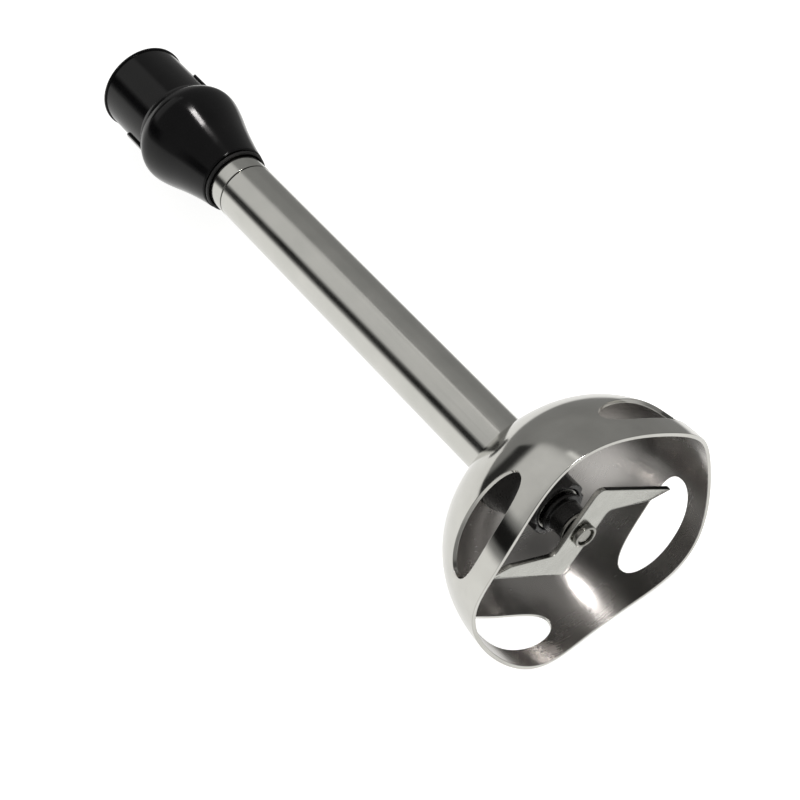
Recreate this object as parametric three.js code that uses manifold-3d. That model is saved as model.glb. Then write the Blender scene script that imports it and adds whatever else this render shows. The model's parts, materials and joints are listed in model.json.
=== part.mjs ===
// Detachable blending leg of a stick blender, in millimetres, +Z up.
//
// The leg lies on its side, as it lies on a table: its bell and the bulge of its coupling touch the
// table, its open bell points towards +X and its coupling towards -X. Every piece is modelled in the
// leg's own frame, with the shaft along +Z from the bell's rim (z = 0) to the coupling, and its +X is
// the side that lies uppermost.

import * as THREE from 'three';
import { mergeVertices } from 'three/addons/utils/BufferGeometryUtils.js';
import Module from 'manifold-3d';

const wasm = await Module();
wasm.setup();

// ---------- Driving dimensions ----------

const seatGap = 0.3; // between fixed pieces that touch
const runGap = 0.1; // radial clearance of the shaft in what it runs in
const edgeBreak = 0.8; // chamfer on moulded and turned edges

// Bell, a dome of sheet steel
const bellRadius = 33.5;
const bellHeight = 31.7;
const bellRoundness = 2.33; // exponent of the dome's outline, 2 being an ellipse
const bellSheet = 1.0;
const rimWave = 1.58; // half the rim's rise and fall
const rimLobes = 4;
const rimWaveEnd = 3.6; // height at which the wave has faded out

// Slots in the bell, one over each lobe of the rim
const slotLength = 28.0;
const slotWidth = 9.6;
const slotHeight = 8.8; // middle of the slot above the rim
const slotRoundness = 2.25; // exponent of its outline, 2 being an ellipse

// Tube and ferrule
const tubeRadius = 8.0;
const tubeWall = 0.8;
const tubeTop = 145.45;
const weldSize = 1.1; // fillet round the foot of the tube
const ferruleStep = 0.05; // how far the ferrule stands proud of the tube
const ferruleShown = 5.05; // from the end of the tube to the lip ring
const ferruleWall = 2.4;
const ferruleSpigot = 8.0; // how far the ferrule reaches into the tube
const ferruleSocket = 14.0; // how far it reaches into the coupling

// Coupling, its heights measured from the lip ring
const lipThickness = 1.0;
const lipWall = 0.55;
const couplingLength = 48.4;
const mouthStep = 0.3; // how far the coupling's lower end stands out past the lip ring
const bulgeSwell = 5.41; // how far the bulge stands out past the lower end
const bulgeRise = 22.9;
const collarDrop = 2.76; // how far the collar lies inside the bulge
const collarRise = 29.4;
const collarWall = 1.75;
const flangeStep = 0.35; // how far the end flange stands out past the collar
const flangeThickness = 0.7;
const webThickness = 3.0;
const railAngle = 76; // degrees from uppermost, the other rail is opposite
const railStep = 0.6; // how far a rail stands out past the collar
const railWidth = 5.0;
const railLength = 9.8;
const railRise = 28.3;

// Drive shaft and what it runs in
const shaftRadius = 2.5;
const shaftEndRadius = 1.9; // turned down where it carries the blade
const shaftRise = 28.0; // end of the shaft above the lip ring
const bushWall = 1.9;
const washerThickness = 0.7;
const clipThickness = 0.8;
const grooveDepth = 0.6;
const grooveEase = 0.2; // how much wider than the clip its groove is, each way

// Bearing housing in the dome
const noseBottom = 14.2;
const noseWall = 1.4; // round the seal
const noseHeight = 6.0;
const noseFlutes = 6; // grip for the wrench that screws it in
const fluteRadius = 1.6;
const fluteLength = 3.6;
const flangeReach = 3.0; // how far the flange under the dome stands out past the tube
const flangeEdge = 1.2; // thickness of that flange at its edge
const noseFlare = 1.5; // how far the nose widens towards the flange before it sweeps out
const gasketInset = 1.0; // how far inside the flange's edge the gasket ends
const shoulderHeight = 2.0; // between the seal and the lower bush
const sealHeight = 3.4;
const sealWall = 2.9;
const lowerBushLength = 16.0;
const housingSpigot = 14.0; // how far the housing reaches into the tube

// Middle and upper bearings
const midCarrierHeight = 86.0;
const midCarrierLength = 12.0;
const upperBushLength = 14.0;
const upperBushWall = 1.0;
const ringThickness = 1.2; // retaining ring over the coupling's web
const ringWidth = 2.2;

// Drive coupler
const couplerRadius = 6.0;
const couplerLength = 14.5;
const couplerRecess = 7.0;
const couplerTeeth = 6;
const recessWall = 1.3;
const toothDepth = 1.1;
const pinRadius = 0.9;
const pinRise = 3.4; // cross pin above the coupler's lower end

// Blade, a flat Z: a band across the shaft with a swept wing at each end
const bladeBottom = 5.8;
const bladeThickness = 1.2;
const bandHalfWidth = 4.0;
const bandReach = 11.8; // shaft to the outer corner of the band
const wingLength = 25.6;
const wingLean = 6.2; // degrees outwards from square to the band
const wingRootWidth = 4.6;
const wingEndWidth = 3.3;
const wingTipCut = 5.2;
const wingTipEdge = 0.3; // small flat at the very tip
const cornerRound = 1.6; // softening of the band's corners
const bladeAngle = 49.6; // degrees from uppermost to the band
const hubRadius = 4.1;
const hubCollar = 1.2; // how far the collar at the hub's upper end stands out
const hubCollarHeight = 0.9;
const washerStep = 0.5; // how far the washer under the hub stands out past it
const nutRadius = 2.9;
const nutThickness = 1.2;
const nutChamfer = 0.4;
const shaftSunk = 0.5; // how far the shaft's end lies inside the nut

// Facets round the shaft: multiples of four, with one facet square to the table
const bellFacets = 72;
const couplingFacets = 48;
const tubeFacets = 40;
const smallFacets = 24;

const degree = Math.PI / 180;

// ---------- Materials ----------

function material(color, roughness, metalness) {
  return new THREE.MeshStandardMaterial({ color, roughness, metalness });
}

const polishedSteel = () => material('#c9c8c2', 0.16, 1.0);
const brushedSteel = () => material('#b4b4ae', 0.3, 1.0);
const turnedSteel = () => material('#9fa09d', 0.35, 1.0);
const bladeSteel = () => material('#cfcdc6', 0.22, 1.0);
const sinteredBronze = () => material('#9a7448', 0.5, 1.0);
const glossBlack = () => material('#17171a', 0.12, 0.0);
const mattBlack = () => material('#202022', 0.55, 0.0);
const greyNylon = () => material('#3c3d3f', 0.5, 0.0);
const sealRubber = () => material('#1b1b1c', 0.8, 0.0);

// ---------- Geometry helpers ----------

// A solid turned about +Z from a closed outline of [radius, height] points.
function turned(outline, facets) {
  const points = outline.map(([radius, height]) => new THREE.Vector2(radius, height));
  points.push(points[0].clone());
  const geometry = new THREE.LatheGeometry(points, facets, Math.PI / facets);
  geometry.rotateX(Math.PI / 2);
  return geometry;
}

// A plain ring between two radii and two heights.
function ring(inner, outer, bottom, top, facets = smallFacets) {
  return turned([[inner, bottom], [outer, bottom], [outer, top], [inner, top]], facets);
}

function toSolid(geometry) {
  const bare = geometry.clone();
  bare.deleteAttribute('normal');
  bare.deleteAttribute('uv');
  const merged = mergeVertices(bare, 1e-4);
  const vertProperties = new Float32Array(merged.attributes.position.array);
  const triVerts = new Uint32Array(merged.index.array);
  return new wasm.Manifold(new wasm.Mesh({ numProp: 3, vertProperties, triVerts }));
}

function toGeometry(solid) {
  const mesh = solid.getMesh();
  const geometry = new THREE.BufferGeometry();
  geometry.setAttribute('position', new THREE.BufferAttribute(mesh.vertProperties, 3));
  geometry.setIndex(new THREE.BufferAttribute(mesh.triVerts, 1));
  geometry.computeVertexNormals();
  return geometry;
}

function cut(geometry, ...cutters) {
  return toGeometry(cutters.reduce((solid, cutter) => solid.subtract(toSolid(cutter)), toSolid(geometry)));
}

function join(geometry, ...others) {
  return toGeometry(others.reduce((solid, other) => solid.add(toSolid(other)), toSolid(geometry)));
}

function mesh(name, geometry, surface) {
  const piece = new THREE.Mesh(geometry, surface);
  piece.name = name;
  return piece;
}

// Turns a geometry drawn with x round the shaft, y along it and z outwards to the given angle.
function faceOutwards(geometry, angle) {
  const around = new THREE.Vector3(-Math.sin(angle), Math.cos(angle), 0);
  const along = new THREE.Vector3(0, 0, 1);
  const outwards = new THREE.Vector3(Math.cos(angle), Math.sin(angle), 0);
  return geometry.applyMatrix4(new THREE.Matrix4().makeBasis(around, along, outwards));
}

// A slot outline with round ends, centred on the origin.
function roundEnded(length, width) {
  const radius = width / 2;
  const straight = length / 2 - radius;
  const shape = new THREE.Shape();
  shape.moveTo(-straight, -radius);
  shape.lineTo(straight, -radius);
  shape.absarc(straight, 0, radius, -Math.PI / 2, Math.PI / 2, false);
  shape.lineTo(-straight, radius);
  shape.absarc(-straight, 0, radius, Math.PI / 2, Math.PI * 1.5, false);
  return shape;
}

// ---------- Bell ----------

// One side of the dome from its rim up to a hole, as [radius, height] points.
function domeOutline(radius, height, hole, steps) {
  const end = Math.acos((hole / radius) ** (bellRoundness / 2));
  const outline = [];
  for (let i = 0; i <= steps; i += 1) {
    const turn = (end * i) / steps;
    outline.push([
      radius * Math.cos(turn) ** (2 / bellRoundness),
      height * Math.sin(turn) ** (2 / bellRoundness),
    ]);
  }
  return outline;
}

const domeSteps = 9;
const bellHole = tubeRadius + seatGap;
const outerDome = domeOutline(bellRadius, bellHeight, bellHole, domeSteps);
const innerDome = domeOutline(bellRadius - bellSheet, bellHeight - bellSheet, bellHole, domeSteps);

function domeInnerHeight(radius) {
  const share = (radius / (bellRadius - bellSheet)) ** bellRoundness;
  return (bellHeight - bellSheet) * (1 - share) ** (1 / bellRoundness);
}

// The rim rises to an arch at 0, 90, 180 and 270 degrees and drops to a lobe between them.
function waveRim(geometry) {
  const position = geometry.attributes.position;
  for (let i = 0; i < position.count; i += 1) {
    const angle = Math.atan2(position.getY(i), position.getX(i));
    const height = position.getZ(i);
    const fade = Math.max(0, 1 - height / rimWaveEnd);
    position.setZ(i, height + rimWave * fade * Math.cos(rimLobes * angle));
  }
  return geometry;
}

// An oval with ends a little blunter than an ellipse's, centred on the origin.
function oval(length, width, roundness, steps) {
  const blunt = (value) => Math.sign(value) * Math.abs(value) ** (2 / roundness);
  const points = [];
  for (let i = 0; i < steps; i += 1) {
    const turn = ((i + 0.5) * 2 * Math.PI) / steps;
    points.push(new THREE.Vector2(
      (length / 2) * blunt(Math.cos(turn)),
      (width / 2) * blunt(Math.sin(turn)),
    ));
  }
  return new THREE.Shape(points);
}

function slotCutter(angle) {
  const shape = oval(slotLength, slotWidth, slotRoundness, 32);
  const geometry = new THREE.ExtrudeGeometry(shape, { depth: bellRadius, bevelEnabled: false });
  geometry.translate(0, slotHeight, bellRadius / 2);
  return faceOutwards(geometry, angle);
}

function bell() {
  const shell = waveRim(turned([...outerDome, ...[...innerDome].reverse()], bellFacets));
  const slots = [];
  for (let i = 0; i < rimLobes; i += 1) {
    slots.push(slotCutter(((i + 0.5) * 2 * Math.PI) / rimLobes));
  }
  return mesh('bell', cut(shell, ...slots), polishedSteel());
}

// Fillet of weld where the tube leaves the dome.
function neckWeld() {
  const inner = tubeRadius + seatGap;
  const outline = [
    [inner, bellHeight],
    [inner + weldSize, bellHeight],
    [inner + weldSize * 0.4, bellHeight + weldSize * 0.4],
    [inner, bellHeight + weldSize * 1.2],
  ];
  return mesh('neck_weld', turned(outline, tubeFacets), brushedSteel());
}

// ---------- Tube and ferrule ----------

const flangeOuter = tubeRadius + flangeReach;
const flangeTop = domeInnerHeight(flangeOuter) - 3 * seatGap;
const tubeBottom = flangeTop + seatGap;
const tubeBore = tubeRadius - tubeWall;
const spigotRadius = tubeBore - seatGap;
const ferruleRadius = tubeRadius + ferruleStep;
const ferruleBottom = tubeTop + seatGap;
const lipHeight = tubeTop + ferruleShown;
const ferruleTop = lipHeight + ferruleSocket;
const ferruleBore = spigotRadius - (ferruleWall - tubeWall);

function shaftTube() {
  return mesh('shaft_tube', ring(tubeBore, tubeRadius, tubeBottom, tubeTop, tubeFacets), brushedSteel());
}

function ferrule() {
  const outline = [
    [ferruleBore, ferruleBottom - ferruleSpigot],
    [spigotRadius, ferruleBottom - ferruleSpigot],
    [spigotRadius, ferruleBottom],
    [ferruleRadius, ferruleBottom],
    [ferruleRadius, ferruleTop],
    [ferruleBore, ferruleTop],
  ];
  return mesh('ferrule', turned(outline, tubeFacets), brushedSteel());
}

// ---------- Coupling ----------

const lipRadius = ferruleRadius + seatGap + lipWall;
const couplingMouth = lipRadius + mouthStep;
const bulgeRadius = couplingMouth + bulgeSwell;
const collarRadius = bulgeRadius - collarDrop;
const socketRadius = collarRadius - collarWall;
const flangeRadius = collarRadius + flangeStep;
const railRadius = collarRadius + railStep;
const couplingBottom = lipHeight + lipThickness + seatGap;
const bulgeHeight = lipHeight + bulgeRise;
const collarBottom = lipHeight + collarRise;
const couplingTop = lipHeight + couplingLength;
const webBottom = ferruleTop + seatGap;
const webTop = webBottom + webThickness;
const carrierNeck = ferruleBore - seatGap;

// Trumpet from the lower mouth out to the bulge and back in to the collar.
function bulgeOutline() {
  const rise = bulgeHeight - couplingBottom;
  const fall = collarBottom - bulgeHeight;
  const curve = new THREE.SplineCurve([
    new THREE.Vector2(couplingMouth, couplingBottom),
    new THREE.Vector2(couplingMouth + bulgeSwell * 0.18, couplingBottom + rise * 0.22),
    new THREE.Vector2(couplingMouth + bulgeSwell * 0.46, couplingBottom + rise * 0.49),
    new THREE.Vector2(couplingMouth + bulgeSwell * 0.87, couplingBottom + rise * 0.82),
    new THREE.Vector2(bulgeRadius, bulgeHeight),
    new THREE.Vector2(bulgeRadius - collarDrop * 0.24, bulgeHeight + fall * 0.41),
    new THREE.Vector2(bulgeRadius - collarDrop * 0.74, bulgeHeight + fall * 0.77),
    new THREE.Vector2(collarRadius, collarBottom),
  ]);
  return curve.getPoints(14).map((point) => [point.x, point.y]);
}

const bulge = bulgeOutline();

function couplingRail(angle) {
  const root = (socketRadius + collarRadius) / 2;
  const geometry = new THREE.ExtrudeGeometry(roundEnded(railLength, railWidth), {
    depth: railRadius - root,
    bevelEnabled: false,
    curveSegments: 5,
  });
  geometry.rotateZ(Math.PI / 2);
  geometry.translate(0, lipHeight + railRise + railLength / 2, root);
  return faceOutwards(geometry, angle);
}

function couplingHousing() {
  const tubeSocket = ferruleRadius + seatGap;
  const outline = [
    ...bulge,
    [collarRadius, couplingTop - flangeThickness],
    [flangeRadius, couplingTop - flangeThickness],
    [flangeRadius, couplingTop],
    [socketRadius, couplingTop],
    [socketRadius, webTop],
    [carrierNeck + seatGap, webTop],
    [carrierNeck + seatGap, webBottom],
    [tubeSocket, webBottom],
    [tubeSocket, couplingBottom],
  ];
  const rails = [0, 180].map((turn) => couplingRail((railAngle + turn) * degree));
  return mesh('coupling_housing', join(turned(outline, couplingFacets), ...rails), glossBlack());
}

function lipRing() {
  const inner = ferruleRadius + seatGap;
  const top = lipHeight + lipThickness;
  return mesh('lip_ring', ring(inner, lipRadius, lipHeight, top, tubeFacets), sealRubber());
}

// ---------- Bearings ----------

const shaftBore = shaftRadius + runGap;
const freeBore = shaftRadius + seatGap;
const bushRadius = shaftBore + bushWall;
const bushSeat = bushRadius + seatGap;
const sealRadius = shaftBore + sealWall;
const sealPocket = sealRadius + seatGap;
const noseRadius = sealPocket + noseWall;
const retainerBottom = noseBottom + seatGap;
const sealBottom = retainerBottom + washerThickness + seatGap;
const sealTop = sealBottom + sealHeight;
const lowerBushBottom = sealTop + 2 * seatGap + shoulderHeight;
const lowerBushTop = lowerBushBottom + lowerBushLength;
const lowerWasherBottom = lowerBushTop + seatGap;
const lowerClipBottom = lowerWasherBottom + washerThickness + seatGap;
const noseTop = noseBottom + noseHeight;
const fluteReach = noseRadius + fluteRadius * 0.45; // middle of a flute from the shaft

function bearingHousing() {
  const outline = [
    [sealPocket, noseBottom],
    [noseRadius - edgeBreak, noseBottom],
    [noseRadius, noseBottom + edgeBreak],
    [noseRadius, noseTop],
    [noseRadius + noseFlare, noseTop + noseFlare],
    [flangeOuter, flangeTop - flangeEdge],
    [flangeOuter, flangeTop],
    [spigotRadius, flangeTop],
    [spigotRadius, flangeTop + housingSpigot],
    [bushSeat, flangeTop + housingSpigot],
    [bushSeat, lowerBushBottom - seatGap],
    [shaftBore + 2 * seatGap, lowerBushBottom - seatGap],
    [shaftBore + 2 * seatGap, sealTop + seatGap],
    [sealPocket, sealTop + seatGap],
  ];
  const flutes = [];
  for (let i = 0; i < noseFlutes; i += 1) {
    const angle = ((i + 0.5) * 2 * Math.PI) / noseFlutes;
    const flute = new THREE.CylinderGeometry(fluteRadius, fluteRadius, 2 * fluteLength, 12);
    flute.rotateX(Math.PI / 2);
    flute.translate(fluteReach * Math.cos(angle), fluteReach * Math.sin(angle), noseBottom);
    flutes.push(flute);
  }
  return mesh('bearing_housing', cut(turned(outline, tubeFacets), ...flutes), greyNylon());
}

function sealRetainer() {
  const top = retainerBottom + washerThickness;
  return mesh('seal_retainer', ring(shaftBore + seatGap, sealRadius, retainerBottom, top), turnedSteel());
}

function shaftSeal() {
  return mesh('shaft_seal', ring(shaftBore, sealRadius, sealBottom, sealTop), sealRubber());
}

function domeGasket() {
  const inner = tubeRadius + 2 * seatGap;
  const outer = flangeOuter - gasketInset;
  const top = domeInnerHeight(outer) - seatGap;
  return mesh('dome_gasket', ring(inner, outer, flangeTop + seatGap, top, tubeFacets), sealRubber());
}

function lowerBush() {
  return mesh('lower_bush', ring(shaftBore, bushRadius, lowerBushBottom, lowerBushTop), sinteredBronze());
}

function midBushCarrier() {
  const top = midCarrierHeight + midCarrierLength;
  return mesh('mid_bush_carrier', ring(bushSeat, spigotRadius, midCarrierHeight, top), greyNylon());
}

function midBush() {
  const bottom = midCarrierHeight + seatGap;
  const top = midCarrierHeight + midCarrierLength - seatGap;
  return mesh('mid_bush', ring(shaftBore, bushRadius, bottom, top), sinteredBronze());
}

const carrierTop = webTop + 2 * ringThickness;
const carrierBottom = carrierTop - upperBushLength - 2 * seatGap;
const ringBottom = webTop + seatGap;

function upperBushCarrier() {
  const bore = shaftBore + upperBushWall + seatGap;
  return mesh('upper_bush_carrier', ring(bore, carrierNeck, carrierBottom, carrierTop), greyNylon());
}

function upperBush() {
  const bottom = carrierBottom + seatGap;
  const outer = shaftBore + upperBushWall;
  return mesh('upper_bush', ring(shaftBore, outer, bottom, bottom + upperBushLength), sinteredBronze());
}

function retainingRing() {
  const inner = carrierNeck + seatGap;
  const top = ringBottom + ringThickness;
  return mesh('retaining_ring', ring(inner, inner + ringWidth, ringBottom, top), turnedSteel());
}

// ---------- Rotor ----------

const upperWasherBottom = carrierTop + seatGap;
const couplerBottom = upperWasherBottom + washerThickness + seatGap;
const couplerTop = couplerBottom + couplerLength;
const pinHeight = couplerBottom + pinRise;
const bladeTop = bladeBottom + bladeThickness;
const hubWasherBottom = bladeTop + seatGap;
const hubBottom = hubWasherBottom + washerThickness + seatGap;
const hubTop = noseBottom - 2 * seatGap;
const endBore = shaftEndRadius + seatGap;
const nutBottom = bladeBottom - seatGap - nutThickness;
const shaftTop = lipHeight + shaftRise;

// A straight rod across the shaft at the given height.
function crossRod(radius, length, height) {
  const geometry = new THREE.CylinderGeometry(radius, radius, length, 16);
  return geometry.translate(0, 0, height);
}

function driveShaft() {
  const groove = shaftRadius - grooveDepth;
  const grooveBottom = lowerClipBottom - grooveEase;
  const grooveTop = lowerClipBottom + clipThickness + grooveEase;
  const outline = [
    [0, nutBottom + shaftSunk],
    [shaftEndRadius, nutBottom + shaftSunk],
    [shaftEndRadius, hubWasherBottom],
    [shaftRadius, hubBottom],
    [shaftRadius, grooveBottom],
    [groove, grooveBottom],
    [groove, grooveTop],
    [shaftRadius, grooveTop],
    [shaftRadius, shaftTop - edgeBreak],
    [shaftRadius - edgeBreak, shaftTop],
    [0, shaftTop],
  ];
  const rod = new THREE.LatheGeometry(
    outline.map(([radius, height]) => new THREE.Vector2(radius, height)),
    smallFacets,
    Math.PI / smallFacets,
  );
  rod.rotateX(Math.PI / 2);
  const hole = crossRod(pinRadius + seatGap, 4 * shaftRadius, pinHeight);
  return mesh('drive_shaft', cut(rod, hole), turnedSteel());
}

function lowerThrustWasher() {
  const top = lowerWasherBottom + washerThickness;
  return mesh('lower_thrust_washer', ring(freeBore, bushRadius, lowerWasherBottom, top), turnedSteel());
}

function lowerClip() {
  const inner = shaftRadius - grooveDepth + seatGap;
  const top = lowerClipBottom + clipThickness;
  return mesh('lower_clip', ring(inner, bushRadius, lowerClipBottom, top), turnedSteel());
}

function upperThrustWasher() {
  const top = upperWasherBottom + washerThickness;
  return mesh('upper_thrust_washer', ring(freeBore, carrierNeck, upperWasherBottom, top), turnedSteel());
}

// Toothed recess that the motor handle's drive dog enters.
function starShape(teeth, outer, inner) {
  const shape = new THREE.Shape();
  for (let i = 0; i < teeth * 4; i += 1) {
    const radius = i % 4 < 2 ? outer : inner;
    const angle = ((i + 0.5) * Math.PI) / (teeth * 2);
    const x = radius * Math.cos(angle);
    const y = radius * Math.sin(angle);
    if (i === 0) {
      shape.moveTo(x, y);
    } else {
      shape.lineTo(x, y);
    }
  }
  return shape;
}

function driveCoupler() {
  const bore = shaftRadius + seatGap;
  const recessBottom = couplerTop - couplerRecess;
  const recessRadius = couplerRadius - recessWall;
  const sleeve = turned([
    [bore, couplerBottom],
    [couplerRadius, couplerBottom],
    [couplerRadius, couplerTop - edgeBreak],
    [couplerRadius - edgeBreak, couplerTop],
    [bore, couplerTop],
  ], smallFacets);
  const recess = new THREE.ExtrudeGeometry(
    starShape(couplerTeeth, recessRadius, recessRadius - toothDepth),
    { depth: 2 * couplerRecess, bevelEnabled: false },
  );
  recess.translate(0, 0, recessBottom);
  const hole = crossRod(pinRadius + seatGap, 3 * couplerRadius, pinHeight);
  return mesh('drive_coupler', cut(sleeve, recess, hole), mattBlack());
}

function couplerPin() {
  const length = 2 * (couplerRadius - edgeBreak);
  return mesh('coupler_pin', crossRod(pinRadius, length, pinHeight), turnedSteel());
}

function hubWasher() {
  const top = hubWasherBottom + washerThickness;
  return mesh('hub_washer', ring(freeBore, hubRadius + washerStep, hubWasherBottom, top), turnedSteel());
}

function bladeHub() {
  const outline = [
    [freeBore, hubBottom],
    [hubRadius, hubBottom],
    [hubRadius, hubTop - hubCollarHeight - seatGap],
    [hubRadius + hubCollar, hubTop - hubCollarHeight],
    [hubRadius + hubCollar, hubTop],
    [freeBore, hubTop],
  ];
  return mesh('blade_hub', turned(outline, smallFacets), mattBlack());
}

// One wing and half of the band, with the band along x; the other half is the same turned by 180 degrees.
function wingOutline() {
  const lean = wingLean * degree;
  const along = new THREE.Vector2(Math.sin(lean), Math.cos(lean));
  const across = new THREE.Vector2(-Math.cos(lean), Math.sin(lean));
  const outerCorner = new THREE.Vector2(bandReach, -bandHalfWidth);
  const place = (distance, inset) => outerCorner.clone()
    .addScaledVector(along, distance).addScaledVector(across, inset);
  const bend = cornerRound * 0.3;
  return [
    [bandReach - cornerRound, -bandHalfWidth],
    [bandReach - bend, -bandHalfWidth + bend],
    place(cornerRound, 0).toArray(),
    place(wingLength - wingTipEdge, 0).toArray(),
    place(wingLength - wingTipEdge, wingTipEdge).toArray(),
    place(wingLength - wingTipCut, wingEndWidth).toArray(),
    place(2 * bandHalfWidth + cornerRound, wingRootWidth).toArray(),
    [bandReach - wingRootWidth, bandHalfWidth + bend],
    [bandReach - wingRootWidth - cornerRound, bandHalfWidth],
  ];
}

function bladeOutline() {
  const wing = wingOutline();
  const opposite = wing.map(([x, y]) => [-x, -y]);
  return [...wing, ...opposite];
}

function blade() {
  const shape = new THREE.Shape(bladeOutline().map(([x, y]) => new THREE.Vector2(x, y)));
  const hole = new THREE.Path();
  hole.absarc(0, 0, endBore, 0, 2 * Math.PI, true);
  shape.holes.push(hole);
  const geometry = new THREE.ExtrudeGeometry(shape, {
    depth: bladeThickness,
    bevelEnabled: false,
    curveSegments: smallFacets,
  });
  geometry.rotateZ(bladeAngle * degree);
  geometry.translate(0, 0, bladeBottom);
  return mesh('blade', geometry, bladeSteel());
}

function bladeNut() {
  const top = nutBottom + nutThickness;
  const outline = [
    [endBore, nutBottom],
    [nutRadius - nutChamfer, nutBottom],
    [nutRadius, nutBottom + nutChamfer],
    [nutRadius, top],
    [endBore, top],
  ];
  return mesh('blade_nut', turned(outline, smallFacets), turnedSteel());
}

// ---------- Assembly ----------

// Tilt of the shaft when both the bell and the coupling's bulge touch the table.
function restingTilt() {
  const facing = Math.cos(Math.PI / bellFacets);
  const bulgeFacing = Math.cos(Math.PI / couplingFacets);
  const tilts = bulge.map(([bulgeR, bulgeZ]) => Math.max(...outerDome.map(
    ([bellR, bellZ]) => Math.atan2(bellR * facing - bulgeR * bulgeFacing, bulgeZ - bellZ),
  )));
  return Math.min(...tilts);
}

const leg = new THREE.Group();
leg.add(
  bell(),
  neckWeld(),
  domeGasket(),
  shaftTube(),
  ferrule(),
  couplingHousing(),
  lipRing(),
  bearingHousing(),
  sealRetainer(),
  shaftSeal(),
  lowerBush(),
  midBushCarrier(),
  midBush(),
  upperBushCarrier(),
  upperBush(),
  retainingRing(),
);

const rotor = new THREE.Group();
rotor.add(
  driveShaft(),
  lowerThrustWasher(),
  lowerClip(),
  upperThrustWasher(),
  driveCoupler(),
  couplerPin(),
  hubWasher(),
  bladeHub(),
  blade(),
  bladeNut(),
);
leg.add(rotor);

// Lay the leg down, then put the middle of its box over the origin with its lowest point at z = 0.
leg.rotation.y = -(Math.PI / 2 + restingTilt());
leg.updateMatrixWorld(true);
const box = new THREE.Box3().setFromObject(leg, true);
const middle = box.getCenter(new THREE.Vector3());
leg.position.set(-middle.x, -middle.y, -box.min.z);

const lyingLeg = new THREE.Group();
lyingLeg.name = 'blending_leg';
lyingLeg.add(leg);

export default lyingLeg;
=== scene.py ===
# Blending leg of a stick blender, lying on a pale table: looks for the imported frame.

import bmesh
import bpy
import json
import math
import numpy as np
from mathutils import Matrix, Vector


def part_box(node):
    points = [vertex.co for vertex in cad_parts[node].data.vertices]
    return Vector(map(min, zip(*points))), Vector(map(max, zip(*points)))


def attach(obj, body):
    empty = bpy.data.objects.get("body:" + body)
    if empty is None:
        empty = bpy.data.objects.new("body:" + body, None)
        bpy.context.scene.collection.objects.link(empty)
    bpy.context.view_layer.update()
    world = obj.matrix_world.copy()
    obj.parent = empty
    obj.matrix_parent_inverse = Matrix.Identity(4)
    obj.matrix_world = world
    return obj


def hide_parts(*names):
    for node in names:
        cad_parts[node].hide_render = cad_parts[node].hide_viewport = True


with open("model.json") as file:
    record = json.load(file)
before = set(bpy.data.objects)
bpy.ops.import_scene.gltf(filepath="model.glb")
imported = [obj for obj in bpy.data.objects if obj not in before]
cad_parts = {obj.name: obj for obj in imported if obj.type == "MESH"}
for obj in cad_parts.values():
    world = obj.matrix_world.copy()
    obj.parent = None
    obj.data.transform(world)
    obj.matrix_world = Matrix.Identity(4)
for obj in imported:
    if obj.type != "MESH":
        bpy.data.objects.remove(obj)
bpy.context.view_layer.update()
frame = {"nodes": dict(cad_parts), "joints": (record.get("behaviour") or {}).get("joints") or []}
print("frame: loaded with", len(frame["nodes"]), "pieces")

mm = 0.001
fullTurn = 2 * math.pi
gap = 0.3  # mm between fixed pieces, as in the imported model

# The leg's own axes: z runs up the shaft from the bell's rim, x is uppermost, sizes in mm.

hinge = frame["joints"][0]
rimMiddle = np.array(hinge["pos_m"])
alongShaft = np.array(hinge["axis"]) / np.linalg.norm(hinge["axis"])
acrossShaft = np.array([0.0, 1.0, 0.0])
upFromShaft = np.cross(acrossShaft, alongShaft)
legAxes = np.stack([upFromShaft, acrossShaft, alongShaft])


# Row place = middle of the rim + each leg coordinate times its own direction.
def toRow(points):
    return rimMiddle + mm * (points @ legAxes)


# Inner and outer radius, and lowest and highest point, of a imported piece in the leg's own axes.
def measure(nodeName):
    mesh = frame["nodes"][nodeName].data
    flat = np.zeros(len(mesh.vertices) * 3, np.float32)
    mesh.vertices.foreach_get("co", flat)
    points = (flat.reshape(-1, 3) - rimMiddle) @ legAxes.T / mm
    radius = np.hypot(points[:, 0], points[:, 1])
    return {
        "inner": float(radius.min()),
        "outer": float(radius.max()),
        "bottom": float(points[:, 2].min()),
        "top": float(points[:, 2].max()),
    }


# A corner becomes a parabola between two points on its sides, the rounding's distance away.
# One more point a little further out on each side keeps the flat beside it flat.
def softCorners(corners, rounding, steps=5):
    corners = np.array(corners, float)
    rounding = np.broadcast_to(np.array(rounding, float), len(corners))
    toPrevious = np.roll(corners, 1, 0) - corners
    toNext = np.roll(corners, -1, 0) - corners
    previousLength = np.linalg.norm(toPrevious, axis=1)
    nextLength = np.linalg.norm(toNext, axis=1)
    reach = np.minimum(rounding, 0.38 * np.minimum(previousLength, nextLength))[:, None]
    previousSide = toPrevious / previousLength[:, None] * reach
    nextSide = toNext / nextLength[:, None] * reach
    share = np.linspace(0, 1, steps)[:, None, None]
    arc = corners + (1 - share) ** 2 * previousSide + share ** 2 * nextSide
    rows = np.concatenate([(corners + 1.25 * previousSide)[None], arc, (corners + 1.25 * nextSide)[None]])
    outline = rows.transpose(1, 0, 2).reshape(-1, 2)
    step = np.linalg.norm(outline - np.roll(outline, 1, 0), axis=1)
    return outline[step > 1e-6]


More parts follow.
